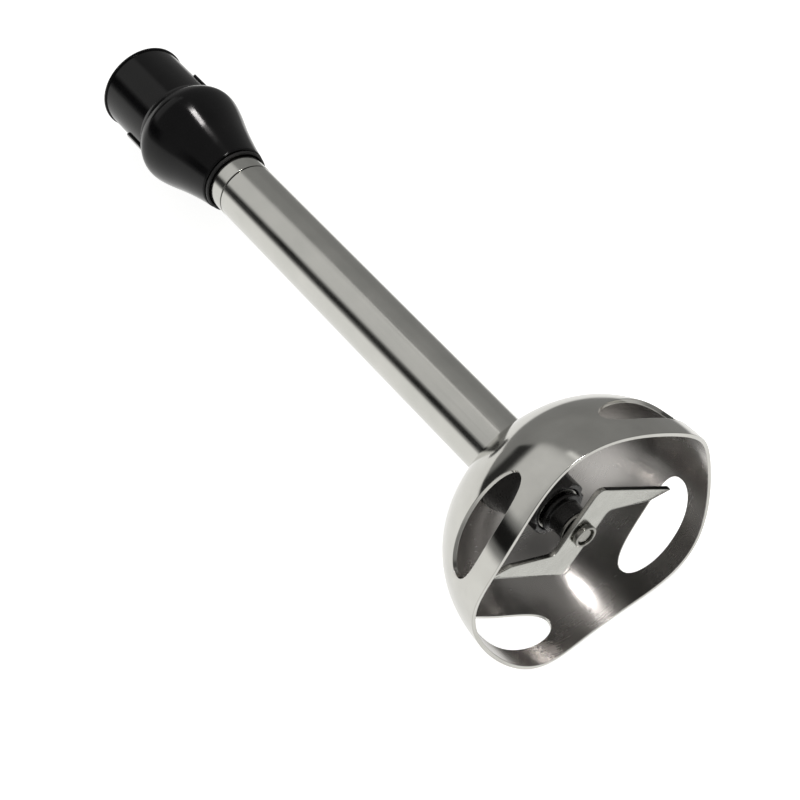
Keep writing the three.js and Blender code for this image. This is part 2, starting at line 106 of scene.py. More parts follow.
# A smooth curve through points: on each span a cubic whose slope at a point is half the step between
# its two neighbours.
def smoothThrough(points, count):
    points = np.array(points, float)
    place = np.linspace(0, len(points) - 1, count)
    span = np.minimum(place.astype(int), len(points) - 2)
    share = (place - span)[:, None]
    last = len(points) - 1
    p0, p1 = points[np.maximum(span - 1, 0)], points[span]
    p2, p3 = points[span + 1], points[np.minimum(span + 2, last)]
    slope1, slope2 = (p2 - p0) / 2, (p3 - p1) / 2
    cubic = 2 * p1 - 2 * p2 + slope1 + slope2
    square = -3 * p1 + 3 * p2 - 2 * slope1 - slope2
    return cubic * share ** 3 + square * share ** 2 + slope1 * share + p1


# An outline of radius and height carried round the shaft: x = radius cos(angle), y = radius sin(angle).
# The map is arc length at the largest radius by length along the outline, in mm.
def turned(outline, segments, closedOutline=True):
    outline = np.array(outline, float)
    if closedOutline:
        outline = np.vstack([outline, outline[:1]])
    angle = np.linspace(0, fullTurn, segments + 1)
    radius, height = outline[:, :1], outline[:, 1:]
    points = np.stack([radius * np.cos(angle), radius * np.sin(angle), height + 0 * angle], -1)
    step = np.linalg.norm(np.diff(outline, axis=0), axis=1)
    length = np.concatenate([[0], np.cumsum(step)])[:, None]
    return points, angle * outline[:, 0].max() + 0 * length, length + 0 * angle


# Joins grids of points (rows by columns, each with its u and v) into one piece that rides on a body and
# stands for a packed one. Doubled points on the seams are merged, which closes them.
def addPiece(nodeName, grids, body, material, turnOut=True):
    points, faces, maps, offset = [], [], [], 0
    for grid, u, v in grids:
        rows, columns = grid.shape[:2]
        index = np.arange(rows * columns).reshape(rows, columns) + offset
        quads = np.stack([index[:-1, :-1], index[:-1, 1:], index[1:, 1:], index[1:, :-1]], -1).reshape(-1, 4)
        points.append(grid.reshape(-1, 3))
        maps.append(np.stack([u.reshape(-1), v.reshape(-1)], -1))
        faces.append(quads)
        offset += rows * columns
    points, maps, faces = np.vstack(points), np.vstack(maps), np.vstack(faces)
    name = nodeName + "_made"
    mesh = bpy.data.meshes.new(name)
    mesh.from_pydata(toRow(points).tolist(), [], faces.tolist())
    uvLayer = mesh.uv_layers.new(name="surfaceMm")
    uvLayer.data.foreach_set("uv", maps[faces.reshape(-1)].astype(np.float32).reshape(-1))
    editable = bmesh.new()
    editable.from_mesh(mesh)
    bmesh.ops.remove_doubles(editable, verts=editable.verts, dist=2e-6)
    if turnOut:
        bmesh.ops.recalc_face_normals(editable, faces=editable.faces)
    editable.to_mesh(mesh)
    editable.free()
    mesh.polygons.foreach_set("use_smooth", np.ones(len(mesh.polygons), bool))
    mesh.materials.append(material)
    piece = bpy.data.objects.new(name, mesh)
    bpy.context.scene.collection.objects.link(piece)
    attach(piece, body)
    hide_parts(nodeName)
    return piece


# sRGB hex to linear colour.
def linear(hexColour):
    channels = np.array([int(hexColour[i:i + 2], 16) for i in (1, 3, 5)]) / 255
    straight = np.where(channels <= 0.04045, channels / 12.92, ((channels + 0.055) / 1.055) ** 2.4)
    return (*straight.tolist(), 1.0)


# Adds a node, gives it its settings (its own or its sockets'), and links sockets to it.
def addNode(tree, kind, settings=None, links=None):
    node = tree.nodes.new(kind)
    for key, value in (settings or {}).items():
        if isinstance(key, str) and hasattr(node, key):
            setattr(node, key, value)
        else:
            node.inputs[key].default_value = value
    for key, source in (links or {}).items():
        tree.links.new(source, node.inputs[key])
    return node


# A finish with a fine pattern (marks per mm round and along) over slow variation (clouds per mm): the
# clouds vary colour and roughness, the marks vary roughness and height.
def makeFinish(name, look):
    material = bpy.data.materials.new(name)
    material.use_nodes = True
    tree = material.node_tree
    tree.nodes.clear()
    place = addNode(tree, "ShaderNodeTexCoord")
    inMm = addNode(
        tree, "ShaderNodeMapping", {"Scale": (1 / mm, 1 / mm, 1 / mm)}, {"Vector": place.outputs["Object"]}
    ).outputs["Vector"]
    markSource = place.outputs["UV"] if look["directed"] else inMm
    stretch = addNode(tree, "ShaderNodeMapping", {"Scale": (*look["marks"], 1.0)}, {"Vector": markSource})
    marks = addNode(
        tree, "ShaderNodeTexNoise", {"Scale": 1.0, "Detail": 3.0, "Roughness": 0.6},
        {"Vector": stretch.outputs["Vector"]},
    ).outputs["Fac"]
    clouds = addNode(
        tree, "ShaderNodeTexNoise", {"Scale": look["clouds"], "Detail": 4.0, "Roughness": 0.55},
        {"Vector": inMm},
    ).outputs["Fac"]
    colours = addNode(tree, "ShaderNodeValToRGB", {}, {"Fac": clouds})
    for stop, position, hexColour in zip(colours.color_ramp.elements, (0.3, 0.7), look["colours"]):
        stop.position, stop.color = position, linear(hexColour)
    fine = look["markRoughness"]
    slowPart, finePart = (
        addNode(
            tree, "ShaderNodeMapRange", {"From Min": 0.3, "From Max": 0.7, "To Min": low, "To Max": high},
            {"Value": source},
        ).outputs["Result"]
        for source, (low, high) in ((clouds, look["roughness"]), (marks, (-fine, fine)))
    )
    rough = addNode(
        tree, "ShaderNodeMath", {"operation": "ADD", "use_clamp": True}, {0: slowPart, 1: finePart}
    ).outputs["Value"]
    bump = addNode(
        tree, "ShaderNodeBump", {"Strength": look["bump"], "Distance": look["depth"] * mm}, {"Height": marks}
    ).outputs["Normal"]
    shader = addNode(
        tree, "ShaderNodeBsdfPrincipled", look["shader"],
        {"Base Color": colours.outputs["Color"], "Roughness": rough, "Normal": bump},
    )
    if "Anisotropic" in look["shader"]:
        marksWay = addNode(tree, "ShaderNodeTangent", {"direction_type": "UV_MAP", "uv_map": "surfaceMm"})
        tree.links.new(marksWay.outputs["Tangent"], shader.inputs["Tangent"])
    addNode(tree, "ShaderNodeOutputMaterial", {}, {"Surface": shader.outputs["BSDF"]})
    return material


# Polished deep-drawn stainless steel: a near mirror, faintly clouded by the polishing mop.
polishedSteel = makeFinish("polishedStainlessSteel", {
    "directed": True, "marks": (0.25, 2.2), "clouds": 0.09, "colours": ("#c2c1bc", "#cfcec9"),
    "roughness": (0.07, 0.13), "markRoughness": 0.02, "bump": 0.05, "depth": 0.02,
    "shader": {"Metallic": 1.0},
})

# The same steel inside the bell, satin from brushing round it, which draws highlights out along the wall.
satinSteel = makeFinish("satinStainlessSteel", {
    "directed": True, "marks": (0.06, 4.0), "clouds": 0.09, "colours": ("#bcb9b6", "#cac7c4"),
    "roughness": (0.22, 0.29), "markRoughness": 0.012, "bump": 0.008, "depth": 0.02,
    "shader": {"Metallic": 1.0, "Anisotropic": 0.85, "Anisotropic Rotation": 0.25},
})

# Brushed drawn stainless tube: fine lines along it that stretch each reflection.
brushedSteel = makeFinish("brushedStainlessTube", {
    "directed": True, "marks": (2.6, 0.03), "clouds": 0.07, "colours": ("#c5c5c0", "#d1d0cb"),
    "roughness": (0.14, 0.2), "markRoughness": 0.04, "bump": 0.12, "depth": 0.02,
    "shader": {"Metallic": 1.0},
})

# Turned carbon steel: rings left by the lathe.
turnedSteel = makeFinish("turnedSteel", {
    "directed": True, "marks": (0.1, 5.0), "clouds": 0.3, "colours": ("#94948f", "#a9a8a3"),
    "roughness": (0.2, 0.3), "markRoughness": 0.06, "bump": 0.2, "depth": 0.03,
    "shader": {"Metallic": 1.0},
})

# Ground martensitic blade steel: satin faces with short grinding lines across them.
groundSteel = makeFinish("groundBladeSteel", {
    "directed": True, "marks": (3.0, 0.25), "clouds": 0.2, "colours": ("#b4b4af", "#c3c3be"),
    "roughness": (0.2, 0.28), "markRoughness": 0.06, "bump": 0.15, "depth": 0.02,
    "shader": {"Metallic": 1.0},
})

# Painted shade: near-black steel on the blade's leading sides, a thin black line along each wing that stands
# in for the shade on those sides.
paintedShadeSteel = makeFinish("steelPaintedWithShade", {
    "directed": True, "marks": (0.4, 3.0), "clouds": 0.4, "colours": ("#1d1c1a", "#2b2a27"),
    "roughness": (0.34, 0.46), "markRoughness": 0.06, "bump": 0.15, "depth": 0.02,
    "shader": {"Metallic": 1.0},
})

# Sintered bronze bush: a brown open-pored metal.
sinteredBronze = makeFinish("sinteredBronze", {
    "directed": False, "marks": (5.0, 5.0), "clouds": 0.8, "colours": ("#7d5c38", "#a88052"),
    "roughness": (0.42, 0.55), "markRoughness": 0.1, "bump": 0.5, "depth": 0.05,
    "shader": {"Metallic": 1.0},
})

# Glossy moulded ABS: black with a barely wavy skin and a few finger marks in its gloss.
glossBlack = makeFinish("glossyBlackAbs", {
    "directed": False, "marks": (0.35, 0.35), "clouds": 0.16, "colours": ("#0f0f10", "#141415"),
    "roughness": (0.1, 0.17), "markRoughness": 0.02, "bump": 0.08, "depth": 0.05,
    "shader": {"Metallic": 0.0, "IOR": 1.54, "Specular IOR Level": 0.21},
})

# Moulded black nylon: a close, finely pitted skin with a soft sheen.
mattBlack = makeFinish("mouldedBlackNylon", {
    "directed": False, "marks": (3.0, 3.0), "clouds": 0.3, "colours": ("#0d0d0d", "#161615"),
    "roughness": (0.22, 0.34), "markRoughness": 0.08, "bump": 0.3, "depth": 0.04,
    "shader": {"Metallic": 0.0, "IOR": 1.53},
})

# Moulded glass-filled nylon: dark grey with the glints of its fibres.
greyNylon = makeFinish("glassFilledNylon", {
    "directed": False, "marks": (2.0, 4.5), "clouds": 0.35, "colours": ("#232322", "#353433"),
    "roughness": (0.26, 0.38), "markRoughness": 0.1, "bump": 0.3, "depth": 0.04,
    "shader": {"Metallic": 0.0, "IOR": 1.55},
})

# Moulded nitrile rubber: black and soft, with no clear reflections.
sealRubber = makeFinish("nitrileRubber", {
    "directed": False, "marks": (3.5, 3.5), "clouds": 0.4, "colours": ("#101010", "#191918"),
    "roughness": (0.5, 0.62), "markRoughness": 0.06, "bump": 0.3, "depth": 0.04,
    "shader": {"Metallic": 0.0, "IOR": 1.52},
})

print("materials: made")

bellLook = {
    "roundness": 2.33,  # exponent of the dome's outline
    "height": 31.7,
    "sheet": 1.0,
    "neck": 8.3,
    "waves": 4,
    "slotLength": 28.0,
    "slotWidth": 9.6,
    "slotHeight": 8.8,
    "slotRoundness": 2.25,
    "edge": 0.3,
    "columns": 240,
    "blockColumns": 40,  # columns beside each slot
    "blockRows": 22,
    "blockBottom": 2.6,
    "blockTop": 15.4,
    "rings": 9,  # between a slot and its block
    "rimRows": 8,
    "crownRows": 30,
    "edgeAngle": 50,  # degrees past which an edge is softened
}
bellSize = measure("bell")
bellRadius = (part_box("bell")[1].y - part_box("bell")[0].y) / 2 / mm
waveHeight = -bellSize["bottom"]


# Dome: (radius / R)^n + (height / H)^n = 1, and straight down below the middle of the rim.
def domeRadius(height, look=bellLook):
    share = np.clip(height / look["height"], 0, 1) ** look["roundness"]
    return bellRadius * (1 - share) ** (1 / look["roundness"])


def domeHeight(radius, look=bellLook):
    share = (radius / bellRadius) ** look["roundness"]
    return look["height"] * (1 - share) ** (1 / look["roundness"])


def domeGrid(angle, height):
    radius = domeRadius(height)
    points = np.stack([radius * np.cos(angle), radius * np.sin(angle), height + 0 * angle], -1)
    return points, angle * bellRadius, height + 0 * angle


# The ring of cells round one slot: from a block's edge to the slot's oval |across|^n + |up|^n = 1,
# punched straight through, so that across = radius times the sine of the angle from its middle.
def slotGrid(middle, look=bellLook):
    halfAngle = look["blockColumns"] / look["columns"] * math.pi
    middleHeight = (look["blockBottom"] + look["blockTop"]) / 2
    halfHeight = (look["blockTop"] - look["blockBottom"]) / 2
    side = np.linspace(-1, 1, look["blockColumns"] + 1)
    rise = np.linspace(-1, 1, look["blockRows"] + 1)
    across = np.concatenate([side[:-1], 1 + 0 * rise[:-1], -side[:-1], -1 + 0 * rise])
    up = np.concatenate([-1 + 0 * side[:-1], rise[:-1], 1 + 0 * side[:-1], -rise])
    turn = np.arctan2(up, across)
    power = 2 / look["slotRoundness"]
    ovalAcross = look["slotLength"] / 2 * np.sign(np.cos(turn)) * np.abs(np.cos(turn)) ** power
    ovalUp = look["slotWidth"] / 2 * np.sign(np.sin(turn)) * np.abs(np.sin(turn)) ** power
    ovalHeight = look["slotHeight"] + ovalUp
    ovalAngle = np.arcsin(ovalAcross / domeRadius(ovalHeight))
    share = np.linspace(0, 1, look["rings"] + 1)[:, None] ** 0.8
    angle = middle + (1 - share) * across * halfAngle + share * ovalAngle
    height = (1 - share) * (middleHeight + up * halfHeight) + share * ovalHeight
    return domeGrid(angle, height)


# The bell's outer skin. Heights run from the rim's wave, height = -depth cos(4 angle) at the lobes, up
# to the neck; each slot sits in a block of its own between two plain strips.
def bellSkin(look=bellLook):
    sector = fullTurn / look["waves"]
    halfBlock = look["blockColumns"] / look["columns"] * math.pi
    stripColumns = look["columns"] // look["waves"] - look["blockColumns"]
    angle = np.linspace(0, fullTurn, look["columns"] + 1)
    rim = waveHeight * np.cos(look["waves"] * angle)
    share = np.linspace(0, 1, look["rimRows"] + 1)[:, None]
    grids = [domeGrid(angle + 0 * share, rim * (1 - share) + look["blockBottom"] * share)]
    heights = np.linspace(look["blockBottom"], look["blockTop"], look["blockRows"] + 1)[:, None]
    for i in range(look["waves"]):
        middle = (i + 0.5) * sector
        strip = np.linspace(middle + halfBlock, middle + sector - halfBlock, stripColumns + 1)
        grids.append(slotGrid(middle))
        grids.append(domeGrid(strip + 0 * heights, heights + 0 * strip))
    start = math.asin((look["blockTop"] / look["height"]) ** (look["roundness"] / 2))
    end = math.acos((look["neck"] / bellRadius) ** (look["roundness"] / 2))
    climb = np.linspace(start, end, look["crownRows"] + 1)[:, None]
    upper = look["height"] * np.sin(climb) ** (2 / look["roundness"])
    grids.append(domeGrid(angle + 0 * upper, upper + 0 * angle))
    return grids


# The open skin's faces already point outwards, so they are not turned.
bell = addPiece("bell", bellSkin(), "leg", polishedSteel, turnOut=False)
sheet = bell.modifiers.new("sheet", "SOLIDIFY")
sheet.thickness = bellLook["sheet"] * mm
sheet.offset = -1
sheet.use_even_offset = True
sheet.material_offset = 1  # the inner skin takes the second finish
bell.data.materials.append(satinSteel)
edge = bell.modifiers.new("edge", "BEVEL")
edge.width = bellLook["edge"] * mm
edge.segments = 3
edge.limit_method = "ANGLE"
edge.angle_limit = math.radians(bellLook["edgeAngle"])
edge.harden_normals = True
print("bell: made")

tubeLook = {"segments": 144, "rounding": 0.15, "ferruleRounding": 0.12}
weldLook = {"points": 14, "reach": 0.35, "lift": 0.02, "sink": 0.15}
tubeSize = measure("shaft_tube")
ferruleSize = measure("ferrule")
weldSize = measure("neck_weld")


def ringCorners(size):
    return [
        [size["inner"], size["bottom"]],
        [size["outer"], size["bottom"]],
        [size["outer"], size["top"]],
        [size["inner"], size["top"]],
    ]


# A plain ring with its four edges softened.
def addRing(nodeName, body, material, rounding=0.15, segments=96):
    outline = softCorners(ringCorners(measure(nodeName)), rounding)
    return addPiece(nodeName, [turned(outline, segments)], body, material)


addRing("shaft_tube", "leg", brushedSteel, tubeLook["rounding"], tubeLook["segments"])


# Weld bead: a hollow fillet from the tube down on to the dome, height falling with the root of the
# distance from the tube.
def weldOutline(look=weldLook):
    foot = weldSize["outer"] + look["reach"]
    radius = np.linspace(tubeSize["outer"] + look["lift"], foot, look["points"])
    share = (radius - radius[0]) / (foot - radius[0])
    drop = weldSize["top"] - domeHeight(foot) - look["lift"]
    top = weldSize["top"] - drop * np.sqrt(1 - (1 - share) ** 2)
    bottom = domeHeight(foot) - look["sink"]
    return np.vstack([np.stack([radius, top], -1), [[foot, bottom], [radius[0], bottom]]])


addPiece(
    "neck_weld", [turned(weldOutline()[::-1], tubeLook["segments"])],
    "leg", brushedSteel,
)


# Ferrule: a sleeve as wide as the tube, with a thinner end that reaches into it.
def ferruleOutline(look=tubeLook):
    shoulder = tubeSize["top"] + gap
    spigot = tubeSize["inner"] - gap
    corners = [
        [ferruleSize["inner"], ferruleSize["bottom"]],
        [spigot, ferruleSize["bottom"]],
        [spigot, shoulder],
        [ferruleSize["outer"], shoulder],
        [ferruleSize["outer"], ferruleSize["top"]],
        [ferruleSize["inner"], ferruleSize["top"]],
    ]
    return softCorners(corners, look["ferruleRounding"])


addPiece(
    "ferrule", [turned(ferruleOutline(), tubeLook["segments"])],
    "leg", brushedSteel,
)
print("tube: made")

couplingLook = {
    "segments": 192,
    "facets": 48,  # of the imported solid, whose flats the turned surface stays within
    "bulgeRise": 22.9,
    "swell": 5.41,  # from the mouth's radius to the bulge's
    "collarDrop": 2.76,  # from the bulge's radius to the collar's
    "collarRise": 29.4,
    "trumpet": ((0.18, 0.22), (0.46, 0.49), (0.87, 0.82)),  # shares of the swell and of the rise
    "shoulder": ((0.24, 0.41), (0.74, 0.77)),  # shares of the collar's drop and of the way up to it
    "collarWall": 1.75,
    "flangeStep": 0.35,
    "flangeThickness": 0.7,
    "web": 3.0,
    "railAngles": (76, 256),
    "railStep": 0.6,
    "railWidth": 5.0,
    "railLength": 9.8,
    "railRise": 28.3,
    "railEdge": 0.22,
    "railSink": 0.4,  # how far the rail goes under the collar's skin
}
couplingSize = measure("coupling_housing")
lipSize = measure("lip_ring")
fit = math.cos(math.pi / couplingLook["facets"])
mouth = couplingSize["bottom"]
lip = lipSize["bottom"]
bulgeRadius = couplingSize["outer"]
mouthRadius = bulgeRadius - couplingLook["swell"]
collarRadius = bulgeRadius - couplingLook["collarDrop"]


# Trumpet, bulge and collar: a smooth curve, then the flange, the socket and the tube's seat.
def couplingOutline(look=couplingLook):
    middle, collar = lip + look["bulgeRise"], lip + look["collarRise"]
    rise, fall = middle - mouth, collar - middle
    swell, drop = look["swell"], look["collarDrop"]
    skin = smoothThrough([
        [mouthRadius, mouth],
        *([mouthRadius + swell * out, mouth + rise * up] for out, up in look["trumpet"]),
        [bulgeRadius, middle],
        *([bulgeRadius - drop * back, middle + fall * up] for back, up in look["shoulder"]),
        [collarRadius, collar],
    ], 120)
    top = couplingSize["top"]
    flange = top - look["flangeThickness"]
    seat = ferruleSize["outer"] + gap
    webBottom = ferruleSize["top"] + gap
    webTop = webBottom + look["web"]
    socket = collarRadius - look["collarWall"]
    bore = ferruleSize["inner"]
    corners = [
        [collarRadius, collar + 0.05],
        [collarRadius, collar + 0.4],
        [collarRadius, flange],
        [collarRadius + look["flangeStep"], flange],
        [collarRadius + look["flangeStep"], top],
        [socket, top],
        [socket, webTop],
        [bore, webTop],
        [bore, webBottom],
        [seat, webBottom],
        [seat, mouth],
        [mouthRadius, mouth],
    ]
    softened = softCorners(corners, [0, 0, 0.15, 0.12, 0.25, 0.3, 0.5, 0.2, 0.2, 0.2, 0.2, 0.25])
    return np.vstack([skin[2:], softened]) * [fit, 1]


# Rail: a round-ended pad wrapped on the collar, two half circles joined by straight sides. It shrinks by
# a quarter circle as it rises, which rounds its edge over on to its top. Its underside is closed too, and
# lies under the collar's skin.
def railGrid(angle, look=couplingLook):
    around = np.linspace(0, fullTurn, 65)
    endRadius = look["railWidth"] / 2
    straight = look["railLength"] / 2 - endRadius
    edgeAround = endRadius * np.cos(around)
    edgeAlong = endRadius * np.sin(around) + straight * np.sign(np.sin(around) + 1e-9)
    level = np.linspace(0, 1, 6) * math.pi / 2
    step, edge, sink = look["railStep"], look["railEdge"], look["railSink"]
    closed = endRadius - 1e-4
    inset = np.concatenate([[closed, 0], edge * (1 - np.cos(level)), [1.2, closed]])
    lift = np.concatenate([[-sink, -sink], step - edge + edge * np.sin(level), [step, step]])
    shrink = (1 - inset / endRadius)[:, None]
    sideways = edgeAround * shrink
    endMiddle = np.sign(edgeAlong) * straight
    rounded = endMiddle + (edgeAlong - endMiddle) * shrink
    lengthways = np.where(np.abs(edgeAlong) > straight, rounded, edgeAlong)
    radius = (collarRadius + lift[:, None]) * fit
    turn = math.radians(angle) + sideways / collarRadius
    height = lip + look["railRise"] + look["railLength"] / 2 + lengthways
    points = np.stack([radius * np.cos(turn), radius * np.sin(turn), height], -1)
    return points, sideways, lengthways


couplingGrids = [turned(couplingOutline(), couplingLook["segments"])]
couplingGrids += [railGrid(angle) for angle in couplingLook["railAngles"]]
addPiece("coupling_housing", couplingGrids, "leg", glossBlack)
addRing("lip_ring", "leg", sealRubber, 0.3, 144)
print("coupling: made")

housingLook = {
    "segments": 168,
    "flutes": 6,
    "fluteRadius": 1.6,
    "fluteLength": 3.6,
    "fluteFade": 1.0,
    "noseHeight": 6.0,
    "noseWall": 1.4,
    "spigot": 14.0,
    "flare": 1.5,
    "flangeEdge": 1.2,
}
housingSize = measure("bearing_housing")
sealSize = measure("shaft_seal")
bushSize = measure("lower_bush")


# Housing: its outline turned round the shaft, with scallops let into the nose. At an angle d from a
# scallop's middle the wall lies at c cos(d) - sqrt(f^2 - c^2 sin(d)^2), fading out above the scallop.
def housingGrid(look=housingLook):
    pocket = sealSize["outer"] + gap
    nose = pocket + look["noseWall"]
    bottom = housingSize["bottom"]
    flangeTop = housingSize["top"] - look["spigot"]
    spigot = tubeSize["inner"] - gap
    seat = bushSize["outer"] + gap
    sealStop = sealSize["inner"] + 2 * gap
    noseTop = bottom + look["noseHeight"]
    corners = [
        [pocket, bottom],
        [nose, bottom],
        [nose, noseTop],
        [nose + look["flare"], noseTop + look["flare"]],
        [housingSize["outer"], flangeTop - look["flangeEdge"]],
        [housingSize["outer"], flangeTop],
        [spigot, flangeTop],
        [spigot, housingSize["top"]],
        [seat, housingSize["top"]],
        [seat, bushSize["bottom"] - gap],
        [sealStop, bushSize["bottom"] - gap],
        [sealStop, sealSize["top"] + gap],
        [pocket, sealSize["top"] + gap],
    ]
    outline = softCorners(corners, [0.3, 0.7, 1.2, 1.2, 0.5, 0.3, 0.2, 0.3, 0.2, 0.2, 0.2, 0.2, 0.2])
    outline = np.vstack([outline, outline[:1]])
    # More rows up the nose, where the scallops fade out.
    noseRows = np.linspace(bottom + 1.0, noseTop - 1.6, 14)
    above = outline[:, 1] > bottom + 0.9
    split = int(np.argmax((outline[:, 0] > nose - 0.01) & above))
    wall = np.stack([nose + 0 * noseRows, noseRows], -1)
    rest = outline[split:][above[split:]]
    outline = np.vstack([outline[:split], wall, rest, outline[-1:]])
    points, u, v = turned(outline, look["segments"], closedOutline=False)
    angle = np.linspace(0, fullTurn, look["segments"] + 1)
    pitch = fullTurn / look["flutes"]
    fromMiddle = np.mod(angle, pitch) - pitch / 2
    reach = nose + look["fluteRadius"] * 0.45
    inside = np.maximum(look["fluteRadius"] ** 2 - (reach * np.sin(fromMiddle)) ** 2, 0)
    wallRadius = np.where(inside > 0, reach * np.cos(fromMiddle) - np.sqrt(inside), nose * 2)
    radius = np.hypot(points[..., 0], points[..., 1])
    depth = np.maximum(radius - wallRadius, 0)
    depth = np.where(radius > pocket + 0.4, depth, 0)
    fade = np.clip((bottom + look["fluteLength"] - points[..., 2]) / look["fluteFade"], 0, 1)
    shorter = (radius - depth * fade * fade * (3 - 2 * fade)) / radius
    points[..., :2] *= shorter[..., None]
    return points, u, v


addPiece("bearing_housing", [housingGrid()], "leg", greyNylon)
fixedRings = [
    ("seal_retainer", "turned_steel", turnedSteel),
    ("shaft_seal", "seal_rubber", sealRubber),
    ("dome_gasket", "seal_rubber", sealRubber),
    ("lower_bush", "sintered_bronze", sinteredBronze),
    ("mid_bush_carrier", "grey_nylon", greyNylon),
    ("mid_bush", "sintered_bronze", sinteredBronze),
    ("upper_bush_carrier", "grey_nylon", greyNylon),
    ("upper_bush", "sintered_bronze", sinteredBronze),
    ("retaining_ring", "turned_steel", turnedSteel),
]
for nodeName, slotName, material in fixedRings:
    addRing(nodeName, "leg", material)
print("bearings: made")

rotorLook = {
    "segments": 96,
    "rounding": 0.15,
    "shaftEnd": 1.9,
    "groove": 0.6,
    "grooveSlack": 0.2,
    "collar": 1.2,
    "collarHeight": 0.9,
}
shaftSize = measure("drive_shaft")
clipSize = measure("lower_clip")
hubSize = measure("blade_hub")
nutSize = measure("blade_nut")
washerSize = measure("hub_washer")

for nodeName in ("lower_thrust_washer", "lower_clip", "upper_thrust_washer", "hub_washer"):
    addRing(nodeName, "rotor", turnedSteel, rotorLook["rounding"], rotorLook["segments"])


# Shaft: the thinner end that carries the blade, the clip's groove, and a plain rod above it.
def shaftOutline(look=rotorLook):
    radius = shaftSize["outer"]
    low, high = clipSize["bottom"] - look["grooveSlack"], clipSize["top"] + look["grooveSlack"]
    corners = [
        [0, shaftSize["bottom"]],
        [look["shaftEnd"], shaftSize["bottom"]],
        [look["shaftEnd"], washerSize["bottom"]],
        [radius, hubSize["bottom"]],
        [radius, low],
        [radius - look["groove"], low],
        [radius - look["groove"], high],
        [radius, high],
        [radius, shaftSize["top"]],
        [0, shaftSize["top"]],
    ]
    outline = softCorners(corners, [0, 0.35, 0.2, 0.2, 0.1, 0.1, 0.1, 0.1, 0.8, 0])
    return outline[np.argsort(outline[:, 1] == shaftSize["top"], kind="stable")]


addPiece(
    "drive_shaft", [turned(shaftOutline(), rotorLook["segments"], closedOutline=False)],
    "rotor", turnedSteel,
)


# Hub: a sleeve with a wider collar at its top.
def hubOutline(look=rotorLook):
    outer = hubSize["outer"] - look["collar"]
    corners = [
        [hubSize["inner"], hubSize["bottom"]],
        [outer, hubSize["bottom"]],
        [outer, hubSize["top"] - look["collarHeight"] - 0.3],
        [hubSize["outer"], hubSize["top"] - look["collarHeight"]],
        [hubSize["outer"], hubSize["top"]],
        [hubSize["inner"], hubSize["top"]],
    ]
    return softCorners(corners, [0.2, 0.5, 0.3, 0.25, 0.25, 0.2])


addPiece("blade_hub", [turned(hubOutline(), rotorLook["segments"])], "rotor", mattBlack)


# Nut: turned, with its lower edge rolled over.
def nutOutline():
    return softCorners(ringCorners(nutSize), [0.2, 0.6, 0.1, 0.1])


addPiece("blade_nut", [turned(nutOutline(), rotorLook["segments"])], "rotor", turnedSteel)

couplerLook = {"teeth": 6, "recess": 7.0, "recessWall": 1.3, "toothDepth": 1.1, "segments": 180}
couplerSize = measure("drive_coupler")
pinSize = measure("coupler_pin")


# Drive coupler: a sleeve whose recess is toothed, its wall lying at middle + depth * s(angle), where s
# is a softened square wave.
def couplerGrid(look=couplerLook):
    top, bottom = couplerSize["top"], couplerSize["bottom"]
    floor = top - look["recess"]
    recess = couplerSize["outer"] - look["recessWall"] - look["toothDepth"] / 2
    corners = [
        [couplerSize["inner"], bottom],
        [couplerSize["outer"], bottom],
        [couplerSize["outer"], top],
        [recess, top],
        [recess, floor],
        [couplerSize["inner"], floor],
    ]
    outline = softCorners(corners, [0.2, 0.4, 0.8, 0.3, 0.2, 0.2])
    points, u, v = turned(outline, look["segments"])
    angle = np.linspace(0, fullTurn, look["segments"] + 1)
    wave = np.tanh(3 * np.cos(look["teeth"] * angle)) / math.tanh(3)
    radius = np.hypot(points[..., 0], points[..., 1])
    inRecess = (points[..., 2] > floor - 0.01) & (radius < recess + 0.45) & (radius > recess - 0.45)
    moved = np.where(inRecess, radius + wave * look["toothDepth"] / 2, radius) / radius
    points[..., :2] *= moved[..., None]
    return points, u, v


addPiece("drive_coupler", [couplerGrid()], "rotor", mattBlack)


# Cross pin: an outline of radius and reach turned about the y axis.
def pinGrid():
    radius = (pinSize["top"] - pinSize["bottom"]) / 2
    reach = pinSize["outer"]
    outline = softCorners([[0, -reach], [radius, -reach], [radius, reach], [0, reach]], [0, 0.3, 0.3, 0])
    outline = outline[np.argsort(outline[:, 1], kind="stable")]
    outline[0, 0] = outline[-1, 0] = 0
    points, u, v = turned(outline, 32, closedOutline=False)
    middle = (pinSize["top"] + pinSize["bottom"]) / 2
    return np.stack([points[..., 0], points[..., 2], points[..., 1] + middle], -1), u, v


addPiece("coupler_pin", [pinGrid()], "rotor", turnedSteel)
print("rotor: made")

bladeLook = {
    "angle": 49.6,  # degrees from uppermost to the band
    "halfWidth": 4.0,
    "reach": 11.8,
    "wingLength": 25.6,
    "lean": 6.2,
    "root": 5.0,
    "end": 3.3,
    "tipCut": 5.2,
    "tipEdge": 0.3,
    "bevel": 1.1,  # width of the ground edge
    "bevelDrop": 0.12,  # how much thinner the plate is at that edge
    "rounding": 0.12,
    "mapLength": 40.0,  # of a wing's side in the map
    "outerCorner": 2.2,  # rounding of the Z's corners, outside and inside
    "innerCorner": 1.7,
    "groundFrom": 0.3,  # share of a side at which the grinding begins, and over which it fades in
    "groundFade": 0.12,
    "paintedShadeFrom": 14.0,  # where in the map the dark sides begin
}
bladeSize = measure("blade")


